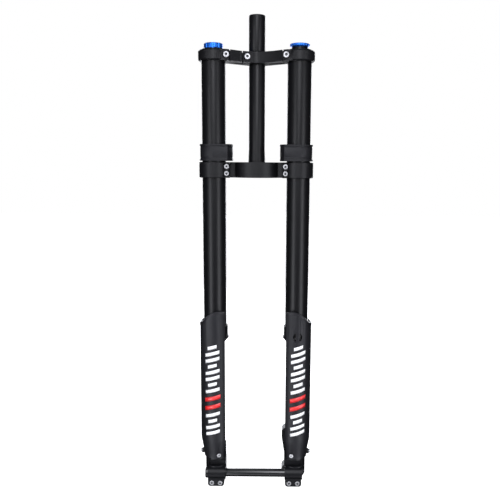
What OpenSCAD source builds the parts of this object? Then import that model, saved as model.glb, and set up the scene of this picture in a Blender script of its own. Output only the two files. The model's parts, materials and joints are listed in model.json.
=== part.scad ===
// Dual crown inverted suspension fork for a downhill bicycle.
// Units are millimetres, +Z is up, the fork's front faces -Y.
// The origin is on the steerer axis, at the crown race seat on top of the lower crown.
// The spring leg stands at -X and the damper leg, which carries the brake, at +X.

/* [Crowns and steerer] */
// Distance between the two leg axes
leg_spacing = 147; // [140:1:156]
// How far the leg axes stand in front of the steerer axis
leg_offset = 28; // [24:1:32]
// Outside diameter of the steerer tube
steerer_d = 28.6; // [28.4:0.1:28.8]
// Height of the steerer's top above the crown race seat
steerer_top = 252; // [230:1:300]
// Height of the lower crown
lower_crown_h = 27; // [22:1:30]
// Height of the upper crown's underside above the crown race seat
upper_crown_z = 170.5; // [150:0.5:172]
// Height of the upper crown
upper_crown_h = 18; // [14:1:20]

/* [Upper tubes] */
// Outside diameter of the upper tubes
outer_tube_d = 41.3; // [40.8:0.1:42]
// Depth of the upper tubes' lower ends below the crown race seat
outer_tube_bottom = 296; // [294:1:300]

/* [Sliding legs] */
// Outside diameter of the sliding stanchions
stanchion_d = 32; // [31:0.5:32]
// Depth of the stanchions' tops below the crown race seat at full length
stanchion_top = 150; // [140:1:155]
// Depth of the axle's centre below the crown race seat
axle_drop = 570; // [568:1:575]
// How far the axle stands in front of the leg axes
axle_lead = 15; // [14:1:16]

/* [Axle and hub] */
// Diameter of the through axle
axle_d = 15; // [12:1:15]
// Width of the hub that fits between the feet
hub_width = 110; // [110:1:112]

/* [Brake mount] */
// Distance between the two brake bolts
post_spacing = 74; // [74:0.2:74.4]

/* [Knobs] */
// Diameter of the preload knob
preload_knob_d = 32.4; // [28:0.2:34]
// Diameter of the rebound knob
rebound_knob_d = 34; // [28:0.2:36]
// Grip flutes around the preload knob
knob_flutes = 10; // [6:1:14]

/* [Hidden] */
$fn = 96;

leg_x = leg_spacing / 2;
leg_y = -leg_offset;
steerer_r = steerer_d / 2;
seat_r = 15.05;
seat_recess_r = 21;
seat_recess = 2;
steerer_wall = 1.6;
crown_top = seat_recess;
lower_crown_z = crown_top - lower_crown_h;
upper_crown_top = upper_crown_z + upper_crown_h;
outer_r = outer_tube_d / 2;
tube_wall = 2;
tube_in_r = outer_r - tube_wall;
clamp_r = 26;
clamp_slit = 1.6;
slit_y = leg_y - 6;
ear_front_y = leg_y - 17;
ear_reach = 27.6;
overlap = 1;

// Screw sizes: thread radius, head radius, head height, socket radius
m5 = [2.1, 4.25, 5, 2];
m6 = [2.5, 5, 6, 2.5];
m4 = [2, 3.8, 2.6, 1.4];
m8 = [4, 6, 8, 3];

stanchion_r = stanchion_d / 2;
stanchion_wall = 1.75;
stanchion_in_r = stanchion_r - stanchion_wall;
running_gap = 0.05;
free_gap = 0.3;
slide_r = stanchion_r + running_gap;
stanchion_bottom = -541.5;

axle_r = axle_d / 2;
axle_z = -axle_drop;
barrel_r = 12;
foot_r = 19.5;
foot_top = -518;
foot_bottom = -580;
inner_face = leg_x - hub_width / 2;
lug_out = 14;
lug_in = 16.2;
lug_depth = 18;
lug_bottom = axle_z - 23;
lug_corner_r = 5;
pinch_z = lug_bottom + 6.4;
pinch_recess = 4;
pinch_half_spacing = 7.7;
lug_mid = (lug_out - lug_in) / 2;
damper_lug_shift = -1.6;
axle_head_r = 10;
axle_head_t = 5;

post_x = 58 - leg_x;
post_face_y = 30;
post_r = 9;
web_in = 19.5;
post_top_z = -501;
post_bolt_r = 2.5;

guard_in_r = 25.1;
guard_wall = 2.5;
guard_out_r = guard_in_r + guard_wall;
guard_bottom = -540;
guard_screw_z = -533;
guard_start = 227;
guard_sweep = 163;
guard_front_turn = 253;
guard_taper_top = -503;
guard_taper_low = -534;
guard_washer_r = 5;
guard_washer_h = 4;

housing_top = -290;
housing_bottom = -314;
housing_r = 23;
housing_in_r = 19;

cap_bottom = 166;
cap_flange_top = 190;
cap_top = 191;
knob_z = cap_top + free_gap;
knob_top = 200;
plug_z = 150;
plug_h = 12;
seat_z = -200;

// Places its children in a leg's own frame: x points outwards, y backwards
module leg(side) {
    translate([side * leg_x, leg_y, 0])
        mirror([side < 0 ? 1 : 0, 0, 0])
            children();
}

// Tube or ring between two heights
module ring(outside, inside, low, high) {
    translate([0, 0, low])
        difference() {
            cylinder(r = outside, h = high - low);
            translate([0, 0, -overlap]) cylinder(r = inside, h = high - low + 2 * overlap);
        }
}

// Socket head screw along +Y, its head's underside at y = 0
module cap_screw(size, length) {
    rotate([-90, 0, 0]) {
        cylinder(r = size[0], h = length, $fn = 48);
        difference() {
            translate([0, 0, -size[2]]) rotate_extrude($fn = 64)
                polygon([[0, 0], [size[1] - 0.5, 0], [size[1], 0.5], [size[1], size[2]], [0, size[2]]]);
            translate([0, 0, -size[2] - overlap])
                cylinder(r = size[3], h = size[2] * 0.6 + overlap, $fn = 6);
        }
    }
}

// Places its children at each of the lower crown's four clamp bolts
module at_lower_crown_bolts() {
    for (side = [-1, 1], dz = [-6, 6])
        translate([side * (leg_x - 22.9), ear_front_y + 1, lower_crown_z + lower_crown_h / 2 + dz])
            children();
}

// Places its children at the upper crown's two leg clamp bolts
module at_leg_bolts() {
    for (side = [-1, 1])
        translate([side * (leg_x - 23.4), ear_front_y - 1, upper_crown_z + upper_crown_h / 2])
            children();
}

// Places its children at the upper crown's steerer clamp bolt
module at_steerer_bolt() {
    translate([-15.5, -25.5, upper_crown_z + upper_crown_h / 2]) children();
}

// Clamp ring around one upper tube, with chamfered rims
module clamp_ring(low, high, chamfer) {
    translate([0, 0, low])
        rotate_extrude()
            polygon([
                [outer_r, 0], [clamp_r - chamfer, 0], [clamp_r, chamfer],
                [clamp_r, high - low - chamfer], [clamp_r - chamfer, high - low],
                [outer_r, high - low]
            ]);
}

module steerer_tube() {
    groove_z = upper_crown_top + 0.3;
    color("#1b1b1d")
        rotate_extrude()
            polygon([
                [steerer_r - steerer_wall, lower_crown_z], [seat_r, lower_crown_z], [seat_r, 6],
                [steerer_r, 26], [steerer_r, groove_z], [steerer_r - 0.3, groove_z + 0.3],
                [steerer_r - 0.3, groove_z + 1.7], [steerer_r, groove_z + 2],
                [steerer_r, steerer_top - 1], [steerer_r - 0.6, steerer_top],
                [steerer_r - steerer_wall, steerer_top]
            ]);
}

// Outline of the lower crown between its clamp rings, seen from above
module lower_crown_plan() {
    body_half = 37.5;
    front_r = 45.2;
    intersection() {
        translate([0, front_r - 38]) circle(r = front_r);
        translate([-body_half, -45]) square([2 * body_half, 62]);
    }
    circle(r = 25);
    for (turn = [0, 1])
        mirror([turn, 0])
            polygon([
                [0, 25], [30, 19], [leg_x - 8, leg_y + 24], [leg_x + 7, leg_y + 24],
                [leg_x, leg_y], [leg_x - 10, slit_y + clamp_slit], [leg_x - ear_reach, slit_y + clamp_slit],
                [leg_x - ear_reach, leg_y + 9], [36, -17], [0, -17]
            ]);
}

// Front half of a leg clamp's ear, in front of the slit
module clamp_ear(low, high) {
    translate([0, 0, low])
        linear_extrude(high - low)
            polygon([
                [-ear_reach, slit_y - leg_y], [-ear_reach, ear_front_y - leg_y + 2],
                [2 - ear_reach, ear_front_y - leg_y], [-8, ear_front_y - leg_y], [-8, slit_y - leg_y]
            ]);
}

module lower_crown() {
    pocket_r = 9;
    pocket_depth = 13;
    color("#222224")
        difference() {
            union() {
                translate([0, 0, lower_crown_z]) linear_extrude(lower_crown_h) lower_crown_plan();
                for (side = [-1, 1])
                    leg(side) {
                        clamp_ring(lower_crown_z, crown_top, 1);
                        clamp_ear(lower_crown_z, crown_top);
                    }
            }
            translate([0, 0, lower_crown_z - overlap])
                cylinder(r = seat_r, h = lower_crown_h + 2 * overlap);
            cylinder(r = seat_recess_r, h = seat_recess + overlap);
            for (side = [-1, 1])
                leg(side) {
                    translate([0, 0, lower_crown_z - overlap])
                        cylinder(r = outer_r, h = lower_crown_h + 2 * overlap);
                    translate([-ear_reach - overlap, slit_y - leg_y, lower_crown_z - overlap])
                        cube([ear_reach - 15 + overlap, clamp_slit, lower_crown_h + 2 * overlap]);
                    // Lightening pocket cut from below
                    translate([-50, 16, lower_crown_z - overlap])
                        cylinder(r = pocket_r, h = pocket_depth + overlap);
                }
            at_lower_crown_bolts() {
                rotate([-90, 0, 0]) cylinder(r = m5[0], h = 30, $fn = 48);
                spot_face(m5);
            }
        }
}

module lower_crown_bolts() {
    color("#c9cacc")
        at_lower_crown_bolts() cap_screw(m5, 24);
}

// Outline of the upper crown's arms, seen from above
module upper_crown_plan() {
    circle(r = 20.5);
    for (turn = [0, 1])
        mirror([turn, 0])
            polygon([
                [0, 20.5], [8, 19], [leg_x - 18, leg_y + 17], [leg_x, leg_y + 21], [leg_x, leg_y],
                [leg_x - 12, ear_front_y - 4], [leg_x - 22, ear_front_y - 3],
                [leg_x - 28, ear_front_y + 0.5], [28, -32], [14, -26], [6, -22], [0, -20.5]
            ]);
}

module upper_crown() {
    pocket_a = [24, -8];
    pocket_b = [44, -17];
    pocket_r = 5;
    color("#222224")
        difference() {
            union() {
                translate([0, 0, upper_crown_z]) linear_extrude(upper_crown_h) upper_crown_plan();
                for (side = [-1, 1])
                    leg(side) clamp_ring(upper_crown_z, upper_crown_top, 2);
            }
            translate([0, 0, upper_crown_z - overlap])
                cylinder(r = steerer_r, h = upper_crown_h + 2 * overlap);
            // Slit of the steerer clamp: out of the bore, then forwards behind the ear
            translate([-25, -13.5, upper_crown_z - overlap])
                cube([19, clamp_slit, upper_crown_h + 2 * overlap]);
            translate([-25, -40, upper_crown_z - overlap])
                cube([clamp_slit, 28, upper_crown_h + 2 * overlap]);
            for (side = [-1, 1])
                leg(side) {
                    translate([0, 0, upper_crown_z - overlap])
                        cylinder(r = outer_r, h = upper_crown_h + 2 * overlap);
                    translate([-ear_reach - 2, slit_y - leg_y, upper_crown_z - overlap])
                        cube([ear_reach - 13, clamp_slit, upper_crown_h + 2 * overlap]);
                    translate([-ear_reach - 2, -32, upper_crown_z - overlap])
                        cube([clamp_slit, 27, upper_crown_h + 2 * overlap]);
                }
            for (side = [-1, 1])
                mirror([side < 0 ? 1 : 0, 0, 0])
                    translate([0, 0, upper_crown_z - overlap])
                        linear_extrude(11)
                            slot_2d(pocket_a, pocket_b, pocket_r);
            at_leg_bolts() rotate([-90, 0, 0]) cylinder(r = m6[0], h = 26, $fn = 48);
            at_steerer_bolt() rotate([-90, 0, 0]) cylinder(r = m6[0], h = 17, $fn = 48);
            at_leg_bolts() spot_face(m6);
            at_steerer_bolt() spot_face(m6);
        }
}

// Flat seat cut for a screw's head, forwards from y = 0
module spot_face(size) {
    rotate([90, 0, 0]) cylinder(r = size[1] + 0.4, h = 12, $fn = 64);
}

// Round ended slot between two points
module slot_2d(a, b, r) {
    length = norm(b - a);
    translate(a)
        rotate(atan2(b[1] - a[1], b[0] - a[0])) {
            circle(r = r, $fn = 48);
            translate([length, 0]) circle(r = r, $fn = 48);
            translate([0, -r]) square([length, 2 * r]);
        }
}

module upper_crown_bolts() {
    color("#c9cacc") {
        at_leg_bolts() cap_screw(m6, 22);
        at_steerer_bolt() cap_screw(m6, 17);
    }
}

module outer_tube(side) {
    color("#1b1b1d")
        leg(side) ring(outer_r, tube_in_r, -outer_tube_bottom, upper_crown_top);
}

module frame_bumper(side) {
    low = 4;
    high = 32.3;
    lip = 2.6;
    body_r = 24;
    lip_r = 25;
    color("#28282a")
        leg(side)
            difference() {
                union() {
                    translate([0, 0, low]) linear_extrude(high - low) bumper_plan(body_r, 0);
                    for (z = [low, high - lip])
                        translate([0, 0, z]) linear_extrude(lip) bumper_plan(lip_r, 1);
                }
                translate([0, 0, low - overlap]) cylinder(r = outer_r, h = high - low + 2 * overlap);
            }
}

// Outline of a frame bumper: round outside, blocked out towards the frame
module bumper_plan(r, grow) {
    circle(r = r);
    polygon([
        [0, -r], [-25, -r], [-32 - grow * 0.3, -12], [-32 - grow * 0.3, 12], [-22, r], [0, r]
    ]);
}

module seal_housing(side) {
    color("#1f1f21")
        leg(side)
            rotate_extrude()
                polygon([
                    [outer_r, housing_top], [housing_r - 1, housing_top], [housing_r, housing_top - 1],
                    [housing_r, -308.5], [24.5, -310], [24.5, housing_bottom + 0.8],
                    [23.5, housing_bottom], [housing_in_r, housing_bottom],
                    [housing_in_r, -outer_tube_bottom], [outer_r, -outer_tube_bottom]
                ]);
}

module slide_bush(side, low, high) {
    color("#8d7f5e")
        leg(side) ring(tube_in_r, slide_r, low, high);
}

module oil_seal(side) {
    color("#2d3b46")
        leg(side) ring(housing_in_r, slide_r, -304, -297);
}

module seal_clip(side) {
    color("#9a9ca0")
        leg(side)
            difference() {
                ring(housing_in_r, 17.2, -306, -304.6);
                translate([-5, 0, -308]) cube([10, 30, 5]);
            }
}

module dust_wiper(side) {
    color("#242426")
        leg(side)
            rotate_extrude()
                polygon([
                    [slide_r, -307], [housing_in_r, -307], [housing_in_r, housing_bottom],
                    [21.5, housing_bottom], [21.5, -316.5], [17.3, -321], [slide_r, -321]
                ]);
}

// Top cap of a leg: threaded skirt, flange and a dished top
module top_cap(bore_r, neck_r, neck_top) {
    rotate_extrude()
        polygon([
            [bore_r, cap_bottom], [tube_in_r, cap_bottom], [tube_in_r, upper_crown_top],
            [outer_r, upper_crown_top], [outer_r, cap_flange_top], [18, cap_top],
            [neck_r, cap_top], [neck_r, neck_top], [bore_r, neck_top]
        ]);
}

module spring_top_cap() {
    color("#1f1f21")
        leg(-1) top_cap(4 + free_gap, 12, cap_top);
}

module damper_top_cap() {
    color("#1f1f21")
        leg(1)
            difference() {
                top_cap(2.3, 13.5, 194.3);
                translate([0, 0, cap_bottom - overlap]) cylinder(r = 5, h = 19);
            }
}

module damper_rod() {
    color("#b9bbbe")
        leg(1) ring(5, 2.3, -200, cap_bottom + 18);
}

module damper_piston() {
    color("#a3a5a8")
        leg(1)
            rotate_extrude()
                polygon([
                    [5, -198], [11.4, -198], [11.4, -195], [10.4, -195], [10.4, -189], [11.4, -189],
                    [11.4, -186], [5, -186]
                ]);
}

module piston_ring() {
    color("#e8e4d8")
        leg(1) ring(11.95, 10.4, -195, -189);
}

module topout_bumper() {
    color("#2a2a2c")
        leg(1) ring(9, 5, -186, -176);
}

// Point on the coil spring's centre line after the given number of turns
function coil_point(turn, turns, low, high, r) =
    [r * cos(360 * turn), r * sin(360 * turn), low + (high - low) * turn / turns];

module coil_spring() {
    wire_r = 2;
    coil_r = 11;
    turns = 18;
    steps = 10;
    sides = 6;
    low = seat_z + free_gap + wire_r;
    high = plug_z - free_gap - wire_r;
    rings = turns * steps;
    points = [
        for (i = [0:rings], k = [0:sides - 1])
            coil_point(i / steps, turns, low, high, coil_r)
            + wire_r * cos(360 * k / sides) * [cos(360 * i / steps), sin(360 * i / steps), 0]
            + [0, 0, wire_r * sin(360 * k / sides)]
    ];
    walls = [
        for (i = [0:rings - 1], k = [0:sides - 1])
            let (n = (k + 1) % sides)
                each [
                    [i * sides + k, i * sides + n, (i + 1) * sides + k],
                    [i * sides + n, (i + 1) * sides + n, (i + 1) * sides + k]
                ]
    ];
    first_end = [for (k = [0:sides - 1]) sides - 1 - k];
    last_end = [for (k = [0:sides - 1]) rings * sides + k];
    color("#3c4c63")
        leg(-1) polyhedron(points, concat(walls, [first_end, last_end]));
}

module stanchion(side) {
    color("#18181a")
        leg(side) ring(stanchion_r, stanchion_in_r, stanchion_bottom, -stanchion_top);
}

// Half turned down lug below the axle, its lower corners rounded, seen from the front
module lug_face() {
    translate([-lug_in, lug_bottom + lug_corner_r]) square([lug_in + lug_out, 20]);
    translate([-lug_in + lug_corner_r, lug_bottom])
        square([lug_in + lug_out - 2 * lug_corner_r, 20]);
    for (x = [-lug_in + lug_corner_r, lug_out - lug_corner_r])
        translate([x, lug_bottom + lug_corner_r]) circle(r = lug_corner_r, $fn = 48);
}

// Cast foot without its brake mount
module foot_casting(lug_shift = 0) {
    difference() {
        union() {
            translate([0, 0, foot_bottom]) cylinder(r = foot_r, h = foot_top - foot_bottom);
            translate([-inner_face, -barrel_r, foot_bottom])
                cube([inner_face, barrel_r + 10, 34]);
            translate([-inner_face, -axle_lead, axle_z])
                rotate([0, 90, 0]) cylinder(r = barrel_r, h = inner_face + lug_out);
            translate([-inner_face, -axle_lead, foot_bottom])
                cube([inner_face + lug_out, axle_lead, 22]);
        }
        // Flat inner side, which the hub sits against
        translate([-inner_face - 5, -foot_r - overlap, foot_bottom - overlap])
            cube([5, 2 * foot_r + 2 * overlap, foot_top - foot_bottom + 2 * overlap]);
    }
    translate([lug_shift, -axle_lead + lug_depth / 2, 0])
        rotate([90, 0, 0]) linear_extrude(lug_depth) lug_face();
}

// Holes and cuts that both feet share
module foot_cuts(lug_shift = 0) {
    translate([0, 0, stanchion_bottom]) cylinder(r = stanchion_r, h = 40);
    translate([0, 0, foot_bottom - overlap]) cylinder(r = m8[0], h = 50, $fn = 48);
    translate([0, 0, foot_bottom - overlap]) cylinder(r = m8[1] + 0.3, h = m8[2] + overlap, $fn = 64);
    translate([-inner_face - overlap, -axle_lead, axle_z])
        rotate([0, 90, 0]) cylinder(r = axle_r + running_gap, h = inner_face + foot_r + 2 * overlap);
    translate([lug_out, -axle_lead, axle_z])
        rotate([0, 90, 0]) cylinder(r = axle_head_r + 0.5, h = 10);
    translate([-inner_face - overlap, -axle_lead - 0.75, lug_bottom - overlap])
        cube([inner_face + lug_out + 2 * overlap, 1.5, 16]);
    // Pocket above the axle barrel
    translate([-16.8, -foot_r - overlap, -556.5]) cube([30.3, 10.5, 13]);
    // Bevel across the outer bottom corner
    translate([foot_r, 0, foot_bottom])
        rotate([0, 45, 0]) cube([8.5, 60, 8.5], center = true);
    // The pinch bolts' holes
    at_pinch_bolts(lug_shift) {
        rotate([-90, 0, 0]) cylinder(r = m5[0], h = 30, $fn = 48);
        spot_face(m5);
    }
}

// Places its children at one foot's two pinch bolts
module at_pinch_bolts(lug_shift) {
    for (dx = [-1, 1])
        translate([
            lug_mid + lug_shift + dx * pinch_half_spacing, pinch_recess - axle_lead - lug_depth / 2, pinch_z
        ]) children();
}

module spring_foot() {
    color("#1f1f21")
        leg(-1)
            difference() {
                foot_casting();
                foot_cuts();
            }
}

// Two bosses and their web, which carry a post mount brake calliper
module brake_mount() {
    for (z = [post_top_z, post_top_z - post_spacing])
        translate([post_x, 8, z]) rotate([-90, 0, 0]) cylinder(r = post_r, h = post_face_y - 8);
    translate([0, 22, 0])
        rotate([90, 0, 0])
            linear_extrude(16)
                polygon([
                    [-10.5, post_top_z], [post_x - post_r, post_top_z], [post_x - post_r, post_top_z - 8],
                    [-web_in, post_top_z - 40], [-web_in, post_top_z - post_spacing],
                    [-10.5, post_top_z - post_spacing]
                ]);
}

module damper_foot() {
    color("#1f1f21")
        leg(1)
            difference() {
                union() {
                    foot_casting(damper_lug_shift);
                    brake_mount();
                }
                foot_cuts(damper_lug_shift);
                for (z = [post_top_z, post_top_z - post_spacing])
                    translate([post_x, post_face_y - 16, z])
                        rotate([-90, 0, 0]) cylinder(r = post_bolt_r, h = 20, $fn = 48);
                translate([0, 0, foot_top]) cylinder(r = foot_r, h = 40);
            }
}

// Area of a guard's side view that lies above its sloping top edge
module guard_top_edge() {
    rotate([90, 0, 0])
        translate([0, 0, -40])
            linear_extrude(80)
                polygon([
                    [-40, -266], [-19, -263], [-12, -260.5], [-5, -260], [3, -262.3], [12.5, -268.5],
                    [20.6, -279], [27.6, -284.8], [40, -292], [40, -200], [-40, -200]
                ]);
}

// Guard shell: an open tube that follows the stanchion and closes in on the foot below
module guard_shell(skin) {
    rotate([0, 0, guard_start])
        rotate_extrude(angle = guard_sweep)
            polygon([
                [guard_in_r, -250], [guard_out_r + skin, -250], [guard_out_r + skin, guard_taper_top],
                [foot_r + guard_wall, guard_taper_low], [foot_r + guard_wall, guard_bottom],
                [foot_r, guard_bottom], [foot_r, guard_taper_low + 0.5],
                [guard_in_r, guard_taper_top + 0.5]
            ]);
}

module guard() {
    difference() {
        union() {
            guard_shell(0);
            intersection() {
                guard_shell(0.5);
                translate([0, 0, -5]) guard_top_edge();
            }
        }
        guard_top_edge();
        at_guard_front_screw() screw_seat(m4[1] + 0.5);
        at_guard_side_screw() screw_seat(guard_washer_r + 0.3);
    }
}

// Screw hole with a flat round seat of the given radius, sunk into the guard's slope
module screw_seat(r) {
    rotate([-90, 0, 0]) cylinder(r = m4[0], h = 20, center = true, $fn = 48);
    rotate([90, 0, 0]) cylinder(r = r, h = 12, $fn = 64);
}

// Frames whose +Y points inwards from the guard's surface at its two screws
module at_guard_front_screw() {
    rotate([0, 0, guard_front_turn - 270])
        translate([0, -foot_r - guard_wall, guard_screw_z]) children();
}

module at_guard_side_screw() {
    rotate([0, 0, 90])
        translate([0, -foot_r - guard_wall, guard_screw_z]) children();
}

module spring_guard() {
    color("#29292b")
        leg(-1) guard();
}

module damper_guard() {
    hole_z = -306;
    hole_x = 2;
    hole_r = 8.3;
    bar_w = 6;
    color("#29292b")
        leg(1)
            difference() {
                guard();
                difference() {
                    translate([hole_x, 0, hole_z]) rotate([90, 0, 0]) cylinder(r = hole_r, h = 40);
                    translate([hole_x - bar_w / 2, -40, hole_z - 10]) cube([bar_w, 40, 20]);
                }
            }
}

module guard_front_screws() {
    color("#c9cacc")
        for (side = [-1, 1]) leg(side) at_guard_front_screw() cap_screw(m4, guard_wall);
}

module guard_side_washers() {
    color("#161617")
        for (side = [-1, 1])
            leg(side) at_guard_side_screw() rotate([90, 0, 0])
                ring(guard_washer_r, m4[0], 0, guard_washer_h);
}

module guard_side_screws() {
    color("#c9cacc")
        for (side = [-1, 1])
            leg(side) at_guard_side_screw() translate([0, -guard_washer_h, 0])
                cap_screw(m4, guard_washer_h + guard_wall);
}

module axle_pinch_bolts() {
    color("#c9cacc") {
        leg(-1) at_pinch_bolts(0) cap_screw(m5, lug_depth - pinch_recess);
        leg(1) at_pinch_bolts(damper_lug_shift) cap_screw(m5, lug_depth - pinch_recess);
    }
}

module foot_bolts() {
    color("#c9cacc")
        for (side = [-1, 1])
            leg(side)
                translate([0, 0, foot_bottom + m8[2]]) rotate([90, 0, 0]) cap_screw(m8, 36);
}

module stanchion_base_plugs() {
    color("#a3a5a8")
        for (side = [-1, 1]) leg(side) ring(stanchion_in_r, m8[0], stanchion_bottom, -533);
}

module spring_spacer() {
    color("#d8d6cc")
        leg(-1) ring(13.5, 11.5, -533, seat_z - 6);
}

module spring_seat() {
    color("#d8d6cc")
        leg(-1)
            rotate_extrude()
                polygon([
                    [0, seat_z - 6], [stanchion_in_r, seat_z - 6], [stanchion_in_r, seat_z],
                    [8.5, seat_z], [8.5, seat_z + 8], [7.5, seat_z + 10], [0, seat_z + 10]
                ]);
}

module damper_cartridge() {
    color("#b08d57")
        leg(1)
            rotate_extrude()
                polygon([[0, -533], [13.5, -533], [13.5, -160], [12, -160], [12, -528], [0, -528]]);
}

module cartridge_head() {
    color("#a3a5a8")
        leg(1)
            rotate_extrude()
                polygon([
                    [5 + running_gap, -175.7], [12, -175.7], [12, -160], [13.5, -160], [13.5, -156],
                    [5 + running_gap, -156], [5 + running_gap, -162], [8, -162], [8, -168],
                    [5 + running_gap, -168]
                ]);
}

module rod_seal() {
    color("#2a2a2c")
        leg(1) ring(8, 5 + running_gap, -168, -162);
}

module through_axle() {
    head_x = -leg_x - lug_out;
    tip_x = leg_x + lug_out;
    color("#26262a")
        translate([0, leg_y - axle_lead, axle_z])
            rotate([0, 90, 0])
                difference() {
                    rotate_extrude()
                        polygon([
                            [4.5, head_x - axle_head_t], [axle_head_r - 1, head_x - axle_head_t],
                            [axle_head_r, head_x - axle_head_t + 1], [axle_head_r, head_x],
                            [axle_r, head_x], [axle_r, head_x + 8], [axle_r - 1, head_x + 9],
                            [axle_r - 1, head_x + 11], [axle_r, head_x + 12], [axle_r, tip_x - 1],
                            [axle_r - 1, tip_x], [4.5, tip_x]
                        ]);
                    translate([0, 0, head_x - axle_head_t - overlap])
                        cylinder(r = 5.5, h = 8, $fn = 6);
                }
}

module axle_o_ring() {
    color("#3a3a3c")
        translate([-leg_x - lug_out + 9, leg_y - axle_lead, axle_z])
            rotate([0, 90, 0]) ring(axle_r, axle_r - 1, 0, 2);
}

module preload_knob() {
    r = preload_knob_d / 2;
    color("#1f6fd0")
        leg(-1)
            difference() {
                translate([0, 0, knob_z])
                    rotate_extrude()
                        polygon([
                            [4, 0], [r - 0.6, 0], [r, 0.6], [r, knob_top - knob_z - 1],
                            [r - 1, knob_top - knob_z], [4, knob_top - knob_z]
                        ]);
                for (i = [0:knob_flutes - 1])
                    rotate([0, 0, 360 * (i + 0.5) / knob_flutes])
                        translate([r + 3.2, 0, knob_z - overlap]) cylinder(r = 4, h = 12, $fn = 48);
            }
}

module preload_shaft() {
    color("#c9cacc")
        leg(-1) translate([0, 0, 136]) cylinder(r = 4, h = knob_top - 136 - 0.5);
}

module preload_plug() {
    color("#d8d6cc")
        leg(-1)
            rotate_extrude()
                polygon([
                    [4 + free_gap, plug_z - 10], [7.5, plug_z - 10], [8.5, plug_z - 8], [8.5, plug_z],
                    [tube_in_r - free_gap, plug_z], [tube_in_r - free_gap, plug_z + plug_h],
                    [4 + free_gap, plug_z + plug_h]
                ]);
}

module rebound_knob() {
    r = rebound_knob_d / 2;
    low = 194.6;
    color("#1f6fd0")
        leg(1)
            difference() {
                rotate_extrude()
                    polygon([
                        [2, low], [13.5, low], [r, 196.6], [r, knob_top - 0.8],
                        [r - 0.8, knob_top], [2, knob_top]
                    ]);
                for (i = [0:19])
                    rotate([0, 0, 18 * i])
                        translate([r + 0.7, 0, low - overlap]) cylinder(r = 1.4, h = 8, $fn = 24);
            }
}

module rebound_needle() {
    color("#c9cacc")
        leg(1) translate([0, 0, -199]) cylinder(r = 2, h = 199 + knob_top - 0.5, $fn = 48);
}

steerer_tube();
lower_crown();
upper_crown();
lower_crown_bolts();
upper_crown_bolts();
outer_tube(-1);  // spring_outer_tube
outer_tube(1);  // damper_outer_tube
frame_bumper(-1);  // spring_frame_bumper
frame_bumper(1);  // damper_frame_bumper
seal_housing(-1);  // spring_seal_housing
seal_housing(1);  // damper_seal_housing
slide_bush(-1, -178, -158);  // spring_upper_bush
slide_bush(1, -178, -158);  // damper_upper_bush
slide_bush(-1, -294, -276);  // spring_lower_bush
slide_bush(1, -294, -276);  // damper_lower_bush
oil_seal(-1);  // spring_oil_seal
oil_seal(1);  // damper_oil_seal
seal_clip(-1);  // spring_seal_clip
seal_clip(1);  // damper_seal_clip
dust_wiper(-1);  // spring_dust_wiper
dust_wiper(1);  // damper_dust_wiper
spring_top_cap();
damper_top_cap();
damper_rod();
damper_piston();
piston_ring();
topout_bumper();
coil_spring();
stanchion(-1);  // spring_stanchion
stanchion(1);  // damper_stanchion
spring_foot();
damper_foot();
spring_guard();
damper_guard();
guard_front_screws();
guard_side_washers();
guard_side_screws();
axle_pinch_bolts();
foot_bolts();
stanchion_base_plugs();
spring_spacer();
spring_seat();
damper_cartridge();
cartridge_head();
rod_seal();
through_axle();
axle_o_ring();
preload_knob();
preload_shaft();
preload_plug();
rebound_knob();
rebound_needle();
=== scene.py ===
import json
import math
import bmesh
import bpy
from mathutils import Matrix, Vector


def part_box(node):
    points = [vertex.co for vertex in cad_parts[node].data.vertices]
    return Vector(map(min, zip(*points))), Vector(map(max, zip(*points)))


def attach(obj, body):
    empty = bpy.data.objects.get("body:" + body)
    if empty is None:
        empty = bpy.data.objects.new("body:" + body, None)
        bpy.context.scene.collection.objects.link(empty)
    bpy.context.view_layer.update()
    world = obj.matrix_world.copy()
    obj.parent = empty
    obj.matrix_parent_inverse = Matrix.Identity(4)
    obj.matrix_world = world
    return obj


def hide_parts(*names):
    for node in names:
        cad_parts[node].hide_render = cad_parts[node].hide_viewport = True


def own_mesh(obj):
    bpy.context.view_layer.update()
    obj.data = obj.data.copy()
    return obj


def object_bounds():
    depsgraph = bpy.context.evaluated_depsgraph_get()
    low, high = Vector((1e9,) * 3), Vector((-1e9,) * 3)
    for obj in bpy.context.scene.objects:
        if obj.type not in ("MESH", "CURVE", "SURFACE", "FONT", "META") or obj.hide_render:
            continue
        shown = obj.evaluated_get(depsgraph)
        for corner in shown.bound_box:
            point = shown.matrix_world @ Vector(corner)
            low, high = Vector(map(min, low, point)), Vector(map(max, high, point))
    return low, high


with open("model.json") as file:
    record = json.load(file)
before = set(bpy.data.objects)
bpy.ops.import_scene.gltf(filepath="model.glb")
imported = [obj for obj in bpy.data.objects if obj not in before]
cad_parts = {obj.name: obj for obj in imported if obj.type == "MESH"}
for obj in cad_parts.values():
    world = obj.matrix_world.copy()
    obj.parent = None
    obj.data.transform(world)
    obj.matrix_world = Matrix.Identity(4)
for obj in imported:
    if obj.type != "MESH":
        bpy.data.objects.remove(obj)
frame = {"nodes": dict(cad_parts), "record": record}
cad_low, cad_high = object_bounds()

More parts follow.
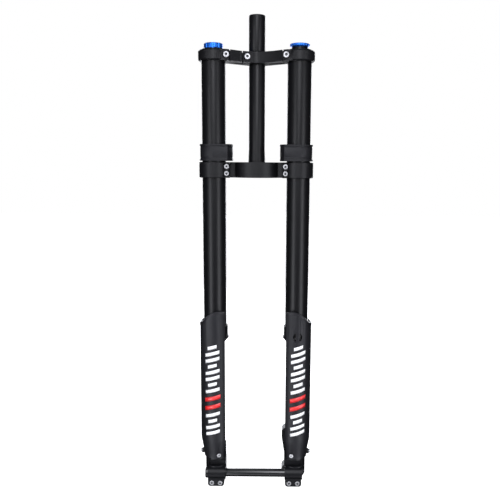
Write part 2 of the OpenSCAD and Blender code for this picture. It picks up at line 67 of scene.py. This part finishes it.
# Studio. The fork floats upright over a white floor in front of a white wall. Two tall soft boxes
# stand at its sides, others light it from the front, above and below, and two weak ones from behind.
camera_data = bpy.data.cameras.new("studio_camera")
camera_data.lens = 44.47
camera_data.sensor_width = 36
camera_data.clip_start = 0.05
camera_data.clip_end = 50
camera = bpy.data.objects.new("studio_camera", camera_data)
camera.location = (0.0355, -1.1203, 0)
camera_data.shift_x = -0.0459
camera_data.shift_y = 0.0227
camera_aim = Matrix.Rotation(math.radians(0.27), 3, "Z") @ Matrix.Rotation(math.radians(81), 3, "X")
camera.rotation_euler = (camera_aim @ Matrix.Rotation(math.radians(0.414), 3, "Z")).to_euler()
bpy.context.collection.objects.link(camera)
bpy.context.scene.camera = camera
bpy.context.scene.view_settings.view_transform = "Standard"
mid_height = (cad_low.z + cad_high.z) / 2


def soft_box(name, turn, distance, height, width, tall, power):
    """A rectangular lamp that faces the fork, turned around it from the front, in degrees."""
    data = bpy.data.lights.new(name, "AREA")
    data.shape = "RECTANGLE"
    data.size = width
    data.size_y = tall
    data.energy = power
    data.color = (0.93, 0.945, 1.0)
    lamp = bpy.data.objects.new(name, data)
    angle = math.radians(turn)
    lamp.location = (distance * math.sin(angle), -distance * math.cos(angle), height)
    toward = Vector((0, 0, mid_height)) - lamp.location
    lamp.rotation_euler = toward.to_track_quat("-Z", "Y").to_euler()
    lamp.visible_camera = False
    bpy.context.collection.objects.link(lamp)


soft_box("left_soft_box", -38, 1.7, mid_height - 0.55, 0.65, 2.2, 40)
soft_box("right_soft_box", 44, 1.7, mid_height - 0.55, 0.7, 2.2, 43)
soft_box("front_soft_box", 0, 1.6, 0.62, 0.5, 0.9, 19)
soft_box("top_soft_box", 2, 1.3, 1.5, 1.2, 0.8, 22)
soft_box("low_soft_box", 0, 0.9, -1.25, 1.6, 0.5, 4)
soft_box("rear_left_soft_box", 197, 1.8, mid_height, 0.5, 2.4, 30)
soft_box("rear_right_soft_box", 163, 1.8, mid_height, 0.5, 2.4, 30)

wall = bpy.data.worlds.new("white_wall")
wall.use_nodes = True
wall_nodes = wall.node_tree.nodes
wall_links = wall.node_tree.links
wall_nodes["Background"].inputs["Color"].default_value = (1, 1, 1, 1)
seen_or_lit = wall_nodes.new("ShaderNodeMapRange")
seen_or_lit.inputs["To Min"].default_value = 0.04
seen_or_lit.inputs["To Max"].default_value = 1.0
wall_links.new(wall_nodes.new("ShaderNodeLightPath").outputs["Is Camera Ray"], seen_or_lit.inputs["Value"])
wall_links.new(seen_or_lit.outputs["Result"], wall_nodes["Background"].inputs["Strength"])
bpy.context.scene.world = wall

floor_mesh = bmesh.new()
bmesh.ops.create_grid(floor_mesh, x_segments=1, y_segments=1, size=6)
bmesh.ops.translate(floor_mesh, verts=floor_mesh.verts, vec=(0, 0, cad_low.z - 0.002))
floor_data = bpy.data.meshes.new("studio_floor")
floor_mesh.to_mesh(floor_data)
floor_mesh.free()
floor = bpy.data.objects.new("studio_floor", floor_data)
floor.visible_glossy = False
floor.visible_diffuse = False
bpy.context.collection.objects.link(floor)
floor_paint = bpy.data.materials.new("pale_floor")
floor_paint.use_nodes = True
floor_shader = floor_paint.node_tree.nodes["Principled BSDF"]
floor_shader.inputs["Base Color"].default_value = (0.9, 0.9, 0.9, 1)
floor_shader.inputs["Roughness"].default_value = 0.9
floor_shader.inputs["Emission Color"].default_value = (1, 1, 1, 1)
floor_shader.inputs["Emission Strength"].default_value = 1.05
floor_data.materials.append(floor_paint)


# Steerer tube. A drawn aluminium tube, black anodised, pressed into the lower crown.
# Its finish is satin with faint lines along the tube, and thin bright wear on its edges.
def grain_group():
    """Node group: noise on object coordinates as a fine height and as a broad, cloudy tone."""
    group = bpy.data.node_groups.new("surface_grain", "ShaderNodeTree")
    inputs = (("Scale", "NodeSocketFloat", 900), ("Stretch", "NodeSocketVector", (1, 1, 1)))
    for socket, kind, value in inputs:
        group.interface.new_socket(name=socket, in_out="INPUT", socket_type=kind).default_value = value
    for socket in ("Height", "Tone"):
        group.interface.new_socket(name=socket, in_out="OUTPUT", socket_type="NodeSocketFloat")
    nodes, links = group.nodes, group.links
    taken, given = nodes.new("NodeGroupInput"), nodes.new("NodeGroupOutput")
    place = nodes.new("ShaderNodeTexCoord")
    stretched = nodes.new("ShaderNodeVectorMath")
    stretched.operation = "MULTIPLY"
    fine, broad = nodes.new("ShaderNodeTexNoise"), nodes.new("ShaderNodeTexNoise")
    fine.inputs["Detail"].default_value = 3
    broad.inputs["Scale"].default_value = 24
    broad.inputs["Detail"].default_value = 4
    links.new(place.outputs["Object"], stretched.inputs[0])
    links.new(taken.outputs["Stretch"], stretched.inputs[1])
    links.new(stretched.outputs["Vector"], fine.inputs["Vector"])
    links.new(taken.outputs["Scale"], fine.inputs["Scale"])
    links.new(place.outputs["Object"], broad.inputs["Vector"])
    links.new(fine.outputs["Fac"], given.inputs["Height"])
    links.new(broad.outputs["Fac"], given.inputs["Tone"])
    return group


def wear_and_painted_shade_group():
    """Node group: a mask of sharp edges, broken up by noise, for wear, and an ambient occlusion value that
    is low in recesses, used as painted shade.
    """
    group = bpy.data.node_groups.new("edge_wear_and_painted_shade", "ShaderNodeTree")
    radius = group.interface.new_socket(name="Radius", in_out="INPUT", socket_type="NodeSocketFloat")
    radius.default_value = 0.0006
    for socket in ("Mask", "PaintedShade"):
        group.interface.new_socket(name=socket, in_out="OUTPUT", socket_type="NodeSocketFloat")
    nodes, links = group.nodes, group.links
    taken, given = nodes.new("NodeGroupInput"), nodes.new("NodeGroupOutput")
    rounded, surface = nodes.new("ShaderNodeBevel"), nodes.new("ShaderNodeNewGeometry")
    rounded.samples = 4
    facing = nodes.new("ShaderNodeVectorMath")
    facing.operation = "DOT_PRODUCT"
    edge = nodes.new("ShaderNodeMapRange")
    edge.inputs["From Min"].default_value = 0.97
    edge.inputs["From Max"].default_value = 0.8
    breakup = nodes.new("ShaderNodeTexNoise")
    breakup.inputs["Scale"].default_value = 160
    spots = nodes.new("ShaderNodeMapRange")
    spots.inputs["From Min"].default_value = 0.4
    spots.inputs["From Max"].default_value = 0.65
    both = nodes.new("ShaderNodeMath")
    both.operation = "MULTIPLY"
    # Painted shade: ambient occlusion within 4 mm becomes a factor that darkens the colour in recesses,
    # sockets and gaps.
    openness, recess_painted_shade = nodes.new("ShaderNodeAmbientOcclusion"), nodes.new("ShaderNodeMapRange")
    openness.samples = 4
    openness.inputs["Distance"].default_value = 0.004
    recess_painted_shade.inputs["From Min"].default_value = 0.3
    recess_painted_shade.inputs["From Max"].default_value = 0.85
    recess_painted_shade.inputs["To Min"].default_value = 0.06
    links.new(taken.outputs["Radius"], rounded.inputs["Radius"])
    links.new(rounded.outputs["Normal"], facing.inputs[0])
    links.new(surface.outputs["Normal"], facing.inputs[1])
    links.new(facing.outputs["Value"], edge.inputs["Value"])
    links.new(nodes.new("ShaderNodeTexCoord").outputs["Object"], breakup.inputs["Vector"])
    links.new(breakup.outputs["Fac"], spots.inputs["Value"])
    links.new(edge.outputs["Result"], both.inputs[0])
    links.new(spots.outputs["Result"], both.inputs[1])
    links.new(both.outputs["Value"], given.inputs["Mask"])
    links.new(openness.outputs["AO"], recess_painted_shade.inputs["Value"])
    links.new(recess_painted_shade.outputs["Result"], given.inputs["PaintedShade"])
    return group


surface_grain = grain_group()
edge_wear_and_painted_shade = wear_and_painted_shade_group()


def finish(name, dark, light, worn, roughness, grain, metallic=0.0, shine=0.5, stretch=(1, 1, 1),
           relief=0.1, depth=2e-5):
    """A material: two close tones, worn edges, painted shade in recesses, and a grain that shows in the
    gloss and the relief.
    """
    material = bpy.data.materials.new(name)
    material.use_nodes = True
    nodes, links = material.node_tree.nodes, material.node_tree.links
    shader = nodes["Principled BSDF"]
    shader.inputs["Metallic"].default_value = metallic
    shader.inputs["Specular IOR Level"].default_value = shine
    pattern, edges = nodes.new("ShaderNodeGroup"), nodes.new("ShaderNodeGroup")
    pattern.node_tree, edges.node_tree = surface_grain, edge_wear_and_painted_shade
    pattern.inputs["Scale"].default_value = grain
    pattern.inputs["Stretch"].default_value = stretch
    tones, wear = nodes.new("ShaderNodeMix"), nodes.new("ShaderNodeMix")
    tones.data_type = wear.data_type = "RGBA"
    tones.inputs["A"].default_value = (*dark, 1)
    tones.inputs["B"].default_value = (*light, 1)
    wear.inputs["B"].default_value = (*worn, 1)
    # Painted shade: the colour is multiplied by the group's recess value, so sockets, slits and gaps come
    # out darker.
    shade = nodes.new("ShaderNodeMix")
    shade.data_type = "RGBA"
    shade.blend_type = "MULTIPLY"
    shade.inputs["Factor"].default_value = 1
    gloss = nodes.new("ShaderNodeMapRange")
    gloss.inputs["From Min"].default_value = 0.3
    gloss.inputs["From Max"].default_value = 0.7
    gloss.inputs["To Min"].default_value = roughness[0]
    gloss.inputs["To Max"].default_value = roughness[1]
    bump = nodes.new("ShaderNodeBump")
    bump.inputs["Strength"].default_value = relief
    bump.inputs["Distance"].default_value = depth
    links.new(pattern.outputs["Tone"], tones.inputs["Factor"])
    links.new(tones.outputs["Result"], wear.inputs["A"])
    links.new(edges.outputs["Mask"], wear.inputs["Factor"])
    links.new(wear.outputs["Result"], shade.inputs["A"])
    links.new(edges.outputs["PaintedShade"], shade.inputs["B"])
    links.new(shade.outputs["Result"], shader.inputs["Base Color"])
    links.new(pattern.outputs["Height"], gloss.inputs["Value"])
    links.new(gloss.outputs["Result"], shader.inputs["Roughness"])
    links.new(pattern.outputs["Height"], bump.inputs["Height"])
    links.new(bump.outputs["Normal"], shader.inputs["Normal"])
    return material


bodies = frame["record"]["behaviour"]["bodies"]
body_of = {node: body for body, members in bodies.items() for node in members}


def dress(node, material):
    """Gives a CAD part its finish."""
    data = frame["nodes"][node].data
    data.materials.clear()
    data.materials.append(material)


def soften(node, width, material, rework=None, segments=2):
    """Replaces a CAD part with a copy whose flats are whole and whose edges are rounded."""
    shape = bmesh.new()
    shape.from_mesh(frame["nodes"][node].data)
    bmesh.ops.remove_doubles(shape, verts=shape.verts, dist=2e-6)
    bmesh.ops.dissolve_limit(shape, angle_limit=math.radians(0.6), verts=shape.verts, edges=shape.edges)
    if rework:
        rework(shape)
    data = bpy.data.meshes.new(node + "_finished")
    shape.to_mesh(data)
    shape.free()
    data.shade_smooth()
    data.set_sharp_from_angle(angle=math.radians(32))
    data.materials.clear()
    data.materials.append(material)
    piece = bpy.data.objects.new(node + "_finished", data)
    bpy.context.collection.objects.link(piece)
    edges = piece.modifiers.new("rounded_edges", "BEVEL")
    edges.width = width
    edges.segments = segments
    edges.limit_method = "ANGLE"
    edges.angle_limit = math.radians(38)
    edges.miter_outer = "MITER_ARC"
    edges.harden_normals = True
    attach(piece, body_of[node])
    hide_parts(node)
    return piece


tube_black = finish("anodised_tube", (0.003, 0.003, 0.0036), (0.0045, 0.0045, 0.0054), (0.03, 0.03, 0.033),
                    (0.34, 0.42), 1400, shine=0.18, stretch=(1, 1, 0.04), relief=0.1)
soften("steerer_tube", 0.0004, tube_black)

# Lower and upper crowns. Forged and milled aluminium, fine blasted and black anodised, split
# beside each leg and, on the upper crown, at the steerer. Their edges are broken by a small radius.
crown_black = finish("blasted_crown", (0.0035, 0.0035, 0.0042), (0.0055, 0.0055, 0.0066),
                     (0.035, 0.035, 0.038), (0.4, 0.52), 2600, shine=0.2, relief=0.35, depth=4e-5)
for crown in ("lower_crown", "upper_crown"):
    soften(crown, 0.0007, crown_black)

# Crown bolts. Plated steel cap screws with a hexagon socket, four in the lower crown and three in
# the upper one. They sink into flat seats and close the slits onto the tubes.
# Their finish darkens the colour inside the hexagon sockets as painted shade, through the recess value of
# its node group.
bolt_plate = finish("plated_screw", (0.3, 0.3, 0.31), (0.36, 0.36, 0.37), (0.5, 0.5, 0.5),
                    (0.4, 0.5), 1800, metallic=0.7, shine=0.3, relief=0.04)
for bolts in ("lower_crown_bolts", "upper_crown_bolts"):
    soften(bolts, 0.0003, bolt_plate)

# Upper tubes. Drawn aluminium tubes, satin black anodised, which stay with the frame.
# Both crowns clamp them, and the sliding legs run inside.
for side in ("spring", "damper"):
    soften(side + "_outer_tube", 0.0003, tube_black)

# Frame bumpers. Moulded rubber blocks pushed onto the upper tubes just above the lower crown,
# with a lip at the top and bottom, shallow grooves around them and a flat inner face.
bumper_rubber = finish("moulded_rubber", (0.006, 0.006, 0.0075), (0.009, 0.009, 0.011), (0.02, 0.02, 0.022),
                       (0.5, 0.62), 1500, shine=0.22, relief=0.3, depth=5e-5)
leg_x = (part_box("damper_outer_tube")[0].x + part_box("damper_outer_tube")[1].x) / 2
leg_y = (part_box("damper_outer_tube")[0].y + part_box("damper_outer_tube")[1].y) / 2
outer_tube_r = (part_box("damper_outer_tube")[1].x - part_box("damper_outer_tube")[0].x) / 2
groove_depth = 0.0005
groove_half = 0.0006


def cut_grooves(shape):
    """Presses three shallow grooves around a bumper's outer wall."""
    low = min(v.co.z for v in shape.verts)
    high = max(v.co.z for v in shape.verts)
    axis_x = math.copysign(leg_x, sum(v.co.x for v in shape.verts))
    for share in (0.17, 0.24, 0.83):
        centre = low + share * (high - low)
        for offset in (-groove_half, 0, groove_half):
            everything = shape.verts[:] + shape.edges[:] + shape.faces[:]
            plane_co = (0, 0, centre + offset)
            bmesh.ops.bisect_plane(shape, geom=everything, plane_co=plane_co, plane_no=(0, 0, 1))
        shape.normal_update()
        for vertex in shape.verts:
            reach = math.hypot(vertex.co.x - axis_x, vertex.co.y - leg_y)
            if abs(vertex.co.z - centre) < 1e-6 and reach > outer_tube_r + 0.001:
                vertex.co -= vertex.normal * groove_depth


for side in ("spring", "damper"):
    soften(side + "_frame_bumper", 0.0006, bumper_rubber, rework=cut_grooves)

# Seal housings and top caps. Turned aluminium, black anodised, with faint turning lines.
# They are screwed into the lower and upper ends of the upper tubes.
turned_black = finish("turned_black", (0.0035, 0.0035, 0.0042), (0.005, 0.005, 0.006), (0.03, 0.03, 0.033),
                      (0.3, 0.42), 2200, shine=0.22, stretch=(0.15, 0.15, 1), relief=0.2)
for side in ("spring", "damper"):
    soften(side + "_seal_housing", 0.0004, turned_black)
    soften(side + "_top_cap", 0.0004, turned_black)

# Dust wipers and oil seals, with the small seals of the damper and the axle. Satin nitrile rubber
# rings, moulded and pressed into their housings.
seal_rubber = finish("seal_rubber", (0.008, 0.008, 0.0095), (0.012, 0.012, 0.014), (0.02, 0.02, 0.023),
                     (0.42, 0.55), 1800, shine=0.3, relief=0.15)
for side in ("spring", "damper"):
    soften(side + "_dust_wiper", 0.0003, seal_rubber)
    dress(side + "_oil_seal", seal_rubber)
for ring in ("topout_bumper", "rod_seal", "axle_o_ring"):
    dress(ring, seal_rubber)

# Slide bushes and seal clips. The bushes are steel backed with a bronze running face and are
# pressed into the tubes. The clips are sprung steel wire that snaps in under the oil seals.
bush_bronze = finish("bush_bronze", (0.42, 0.3, 0.16), (0.52, 0.4, 0.23), (0.6, 0.48, 0.3),
                     (0.32, 0.45), 1200, metallic=1.0, relief=0.15)
spring_steel = finish("spring_steel", (0.2, 0.23, 0.3), (0.28, 0.31, 0.37), (0.45, 0.46, 0.5),
                      (0.28, 0.4), 1600, metallic=1.0, stretch=(1, 1, 0.3), relief=0.15)
for side in ("spring", "damper"):
    dress(side + "_upper_bush", bush_bronze)
    dress(side + "_lower_bush", bush_bronze)
    dress(side + "_seal_clip", spring_steel)

# Sliding legs. Aluminium stanchions with a smooth, hard, black anodised coat, pressed into
# the feet. They run in the bushes of the upper tubes.
stanchion_black = finish("stanchion_coat", (0.004, 0.0042, 0.005), (0.006, 0.0062, 0.007),
                         (0.03, 0.03, 0.032), (0.14, 0.2), 2400, stretch=(0.2, 0.2, 1), relief=0.05)
for side in ("spring", "damper"):
    dress(side + "_stanchion", stanchion_black)

# Feet. Aluminium castings under satin black paint, with fine orange peel. The split clamp around
# the axle hangs in front, and the damper leg's foot carries the brake mount.
foot_paint = finish("painted_casting", (0.0035, 0.0036, 0.0046), (0.0055, 0.0056, 0.007),
                    (0.03, 0.03, 0.034), (0.36, 0.48), 1000, shine=0.17, relief=0.3, depth=5e-5)
for side in ("spring", "damper"):
    soften(side + "_foot", 0.0009, foot_paint)

# Leg guards. Injection moulded plastic shells with a fine grained surface, bowed around the
# sliding legs and screwed to the feet.
guard_plastic = finish("grained_plastic", (0.0085, 0.0085, 0.0105), (0.0115, 0.0115, 0.014),
                       (0.03, 0.03, 0.033), (0.44, 0.54), 1900, shine=0.2, relief=0.3, depth=4e-5)
for side in ("spring", "damper"):
    soften(side + "_guard", 0.0005, guard_plastic)

# Guard graphics. Thin printed film stuck around the front of each guard: slanted white bars with
# a red pair among them. They are a plain pattern and carry no letters.
film_radius = 0.02765
film_thickness = 0.0001
bar_width = 0.027
bar_slope = 0.28
film_offset = 0.004


def film(name, paint, bars, side_sign):
    """Slanted bars of film around a guard's front, each given as height, thickness and share of width."""
    shape = bmesh.new()
    for height, thickness, share in bars:
        made = bmesh.ops.create_grid(shape, x_segments=16, y_segments=1, size=0.5)["verts"]
        bmesh.ops.scale(shape, vec=(bar_width * share, thickness, 1), verts=made)
        for vertex in made:
            across, along = vertex.co.x, vertex.co.y
            turn = (across + side_sign * film_offset) / film_radius
            vertex.co = Vector((
                side_sign * leg_x + film_radius * math.sin(turn),
                leg_y - film_radius * math.cos(turn),
                height + along + bar_slope * across,
            ))
    bmesh.ops.recalc_face_normals(shape, faces=shape.faces)
    data = bpy.data.meshes.new(name)
    shape.to_mesh(data)
    shape.free()
    data.shade_smooth()
    data.materials.append(paint)
    piece = bpy.data.objects.new(name, data)
    bpy.context.collection.objects.link(piece)
    wall_of_film = piece.modifiers.new("thickness", "SOLIDIFY")
    wall_of_film.thickness = film_thickness
    wall_of_film.offset = 0
    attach(piece, "lowers")


white_film = finish("white_film", (0.8, 0.8, 0.8), (0.88, 0.88, 0.88), (0.9, 0.9, 0.9),
                    (0.3, 0.4), 1500, relief=0.05)
red_film = finish("red_film", (0.62, 0.008, 0.01), (0.72, 0.012, 0.014), (0.7, 0.05, 0.05),
                  (0.3, 0.4), 1500, relief=0.05)
graphic_top = -0.326
pitch = 0.0115
white_bars = [(graphic_top - pitch * step, 0.0062, 1.0 if step % 3 else 0.62) for step in range(8)]
white_bars += [(graphic_top - pitch * step, 0.0062, 1.0 if step % 3 else 0.62) for step in range(11, 15)]
red_bars = [(graphic_top - pitch * step, 0.0078, 1.12) for step in (8.3, 9.7)]
for side, side_sign in (("spring", -1), ("damper", 1)):
    film(side + "_white_graphic", white_film, white_bars, side_sign)
    film(side + "_red_graphic", red_film, red_bars, side_sign)

# Small fixings: guard screws with their side spacers, the axle pinch bolts and the foot bolts.
# The screws are plated steel and the spacers moulded plastic.
spacer_black = finish("spacer_plastic", (0.005, 0.005, 0.006), (0.008, 0.008, 0.009), (0.02, 0.02, 0.022),
                      (0.45, 0.6), 1500, shine=0.25, relief=0.2)
soften("guard_side_washers", 0.0004, spacer_black)
for screws in ("guard_front_screws", "guard_side_screws", "axle_pinch_bolts"):
    soften(screws, 0.0003, bolt_plate)
dress("foot_bolts", bolt_plate)

# Through axle. A black anodised aluminium tube with a flanged head on the spring leg's side. It is
# turned and glossier than the fork's own tubes.
axle_black = finish("glossy_anodised", (0.005, 0.005, 0.006), (0.007, 0.007, 0.0085), (0.03, 0.03, 0.033),
                    (0.26, 0.34), 1800, shine=0.5, stretch=(1, 0.2, 0.2), relief=0.1)
soften("through_axle", 0.0004, axle_black)

# Knobs. Turned aluminium, bright blue anodised, fluted for grip. The preload knob sits on the
# spring leg's cap and the rebound knob on the damper leg's.
knob_blue = finish("blue_anodised", (0.014, 0.13, 0.62), (0.02, 0.17, 0.72), (0.1, 0.32, 0.85),
                   (0.34, 0.42), 2200, metallic=0.75, stretch=(0.2, 0.2, 1), relief=0.06)
for knob in ("preload_knob", "rebound_knob"):
    soften(knob, 0.0003, knob_blue)

# Springing. A coil of drawn steel wire between the preload plug and the seat on the sliding leg. Its
# lower turns are pressed together as the leg slides in, and its upper turns by the preload plug.
coil_low, coil_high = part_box("coil_spring")
wire_r = 0.002
coil_r = (coil_high.x - coil_low.x) / 2 - wire_r
coil_turns = 18
preload_turns = 4
steps_per_turn = 24
coil_pitch = (coil_high.z - coil_low.z - 2 * wire_r) / coil_turns


def coil(name, first_turn, turns):
    """Some turns of the spring wire, counted from the bottom end."""
    start_z = coil_low.z + wire_r + first_turn * coil_pitch
    shape = bmesh.new()
    section = bmesh.ops.create_circle(shape, cap_ends=True, segments=12, radius=wire_r)["verts"]
    bmesh.ops.rotate(shape, verts=section, matrix=Matrix.Rotation(math.radians(90), 3, "X"))
    bmesh.ops.translate(shape, verts=section, vec=(coil_r - leg_x, leg_y, start_z))
    bmesh.ops.spin(
        shape, geom=shape.verts[:] + shape.edges[:] + shape.faces[:], cent=(-leg_x, leg_y, 0),
        axis=(0, 0, 1), dvec=(0, 0, coil_pitch / steps_per_turn),
        angle=2 * math.pi * turns, steps=turns * steps_per_turn,
    )
    bmesh.ops.recalc_face_normals(shape, faces=shape.faces)
    data = bpy.data.meshes.new(name)
    shape.to_mesh(data)
    shape.free()
    data.shade_smooth()
    data.materials.append(spring_steel)
    piece = bpy.data.objects.new(name, data)
    bpy.context.collection.objects.link(piece)
    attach(piece, "root")
    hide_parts("coil_spring")
    return piece


split_turn = coil_turns - preload_turns
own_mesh(coil("coil_spring_lower", 0, split_turn))
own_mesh(coil("coil_spring_upper", split_turn, preload_turns))

# Parts on both ends of the spring: white acetal plug, spacer and seat, and the steel preload screw.
acetal = finish("natural_acetal", (0.68, 0.66, 0.6), (0.76, 0.74, 0.69), (0.8, 0.79, 0.75),
                (0.35, 0.45), 900, relief=0.1)
plain_steel = finish("turned_steel", (0.5, 0.51, 0.53), (0.62, 0.63, 0.65), (0.7, 0.7, 0.72),
                     (0.2, 0.32), 1800, metallic=1.0, stretch=(0.2, 0.2, 1), relief=0.15)
for plastic in ("preload_plug", "spring_spacer", "spring_seat", "piston_ring"):
    dress(plastic, acetal)
for steel in ("preload_shaft", "rebound_needle"):
    dress(steel, plain_steel)

# Damper. A hard chromed steel rod and its aluminium piston, which slide in a plain aluminium
# cartridge. The plain plugs that close the stanchions' lower ends share the alloy's finish.
rod_chrome = finish("hard_chrome", (0.68, 0.69, 0.71), (0.76, 0.77, 0.79), (0.8, 0.8, 0.82),
                    (0.06, 0.12), 2400, metallic=1.0, stretch=(0.2, 0.2, 1), relief=0.03)
plain_alloy = finish("turned_alloy", (0.5, 0.5, 0.52), (0.6, 0.6, 0.62), (0.7, 0.7, 0.72),
                     (0.25, 0.38), 1500, metallic=1.0, stretch=(0.2, 0.2, 1), relief=0.15)
dress("damper_rod", rod_chrome)
for alloy in ("damper_piston", "damper_cartridge", "cartridge_head", "stanchion_base_plugs"):
    dress(alloy, plain_alloy)
